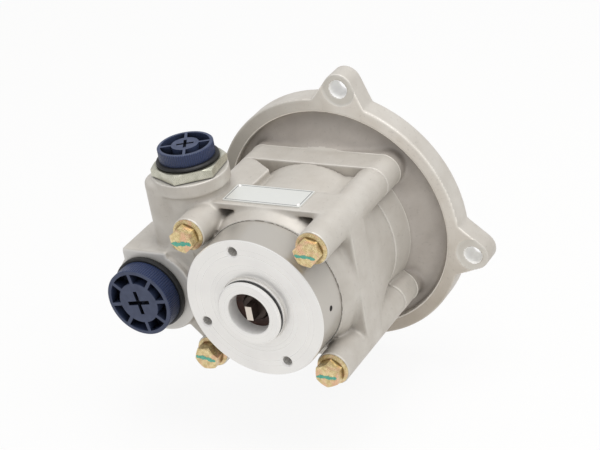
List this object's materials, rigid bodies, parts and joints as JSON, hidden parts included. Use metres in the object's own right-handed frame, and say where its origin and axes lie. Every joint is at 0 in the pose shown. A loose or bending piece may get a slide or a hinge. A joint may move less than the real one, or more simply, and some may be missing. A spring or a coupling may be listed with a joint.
{
  "type": "power steering pump",
  "caption": "Vane pump with a wide bell flange, keyed taper shaft, top pressure port over a flow control valve, suction port and a rear pad with tang drive.",
  "frame": {"origin": "centre of the engine mounting face of the bell flange, on the shaft axis", "axes": "+Y along the shaft towards the engine, -Y towards the rear pad, +Z towards the pressure port, +X to the right seen from the rear pad"},
  "size_m": [0.2372, 0.1868, 0.2294],
  "materials": {
    "cast_aluminium": "as cast, blasted",
    "machined_aluminium": "turned, satin",
    "yellow_zinc": "yellow zinc plate",
    "pale_zinc": "pale zinc plate",
    "ground_steel": "ground",
    "dark_steel": "phosphated",
    "black_rubber": "matt",
    "brown_rubber": "matt",
    "bush_bronze": "machined",
    "cage_nylon": "moulded",
    "blue_plastic": "moulded, satin",
    "plate_aluminium": "rolled, satin"
  },
  "bodies": {
    "housing": {"bell_flange": "cast_aluminium", "pump_body": "cast_aluminium", "rear_cover": "machined_aluminium", "clamp_bolts": "yellow_zinc", "cover_lock_ring": "dark_steel", "cover_seal_ring": "black_rubber", "spigot_seal_ring": "black_rubber", "body_seal_ring": "black_rubber", "flange_seal_ring": "black_rubber", "rear_shaft_seal": "brown_rubber", "front_shaft_seal": "brown_rubber", "rear_bush": "bush_bronze", "bearing_outer_race": "ground_steel", "bearing_circlip": "dark_steel", "cam_ring": "ground_steel", "front_side_plate": "ground_steel", "rear_side_plate": "ground_steel", "side_plate_seal_ring": "black_rubber", "cartridge_pins": "ground_steel", "cartridge_spring": "dark_steel", "pressure_adapter": "pale_zinc", "adapter_washer": "machined_aluminium", "nameplate": "plate_aluminium", "nameplate_rivets": "plate_aluminium", "flow_spring": "dark_steel"},
    "shaft": {"drive_shaft": "ground_steel", "woodruff_key": "ground_steel", "shaft_washer": "pale_zinc", "shaft_nut": "pale_zinc", "rotor": "ground_steel", "vanes": "ground_steel", "bearing_inner_race": "ground_steel", "shaft_circlip": "dark_steel"},
    "bearing_train": {"bearing_cage": "cage_nylon", "bearing_balls": "ground_steel"},
    "spool": {"flow_spool": "ground_steel", "relief_seat": "ground_steel", "relief_spring": "dark_steel"},
    "poppet": {"relief_poppet": "ground_steel"},
    "pressure_cap": {"pressure_plug": "blue_plastic", "pressure_plug_ring": "black_rubber"},
    "suction_cap": {"suction_plug": "blue_plastic", "suction_plug_ring": "black_rubber"}
  },
  "joints": [
    {"name": "shaft_spin", "type": "hinge", "parent": "housing", "child": "shaft", "pos_m": [0, 0, 0], "axis": [0, 1, 0], "continuous": true},
    {"name": "bearing_train_spin", "type": "hinge", "parent": "housing", "child": "bearing_train", "pos_m": [0, -0.019, 0], "axis": [0, 1, 0], "continuous": true},
    {"name": "flow_spool_slide", "type": "slide", "parent": "housing", "child": "spool", "axis": [0, 0, 1], "range_m": [-0.009, 0], "stiffness_N_per_m": 2500, "springref_m": 0.004, "deforming": ["flow_spring"]},
    {"name": "relief_poppet_slide", "type": "slide", "parent": "spool", "child": "poppet", "axis": [0, 0, 1], "range_m": [0, 0.0015], "stiffness_N_per_m": 4000, "springref_m": -0.003, "deforming": ["relief_spring"]},
    {"name": "pressure_plug_slide", "type": "slide", "parent": "housing", "child": "pressure_cap", "axis": [0, 0, 1], "range_m": [0, 0.012]},
    {"name": "suction_plug_slide", "type": "slide", "parent": "housing", "child": "suction_cap", "axis": [0, -1, 0], "range_m": [0, 0.016]}
  ],
  "couplings": [
    {"joint": "bearing_train_spin", "follows": "shaft_spin", "ratio": 0.3974}
  ]
}
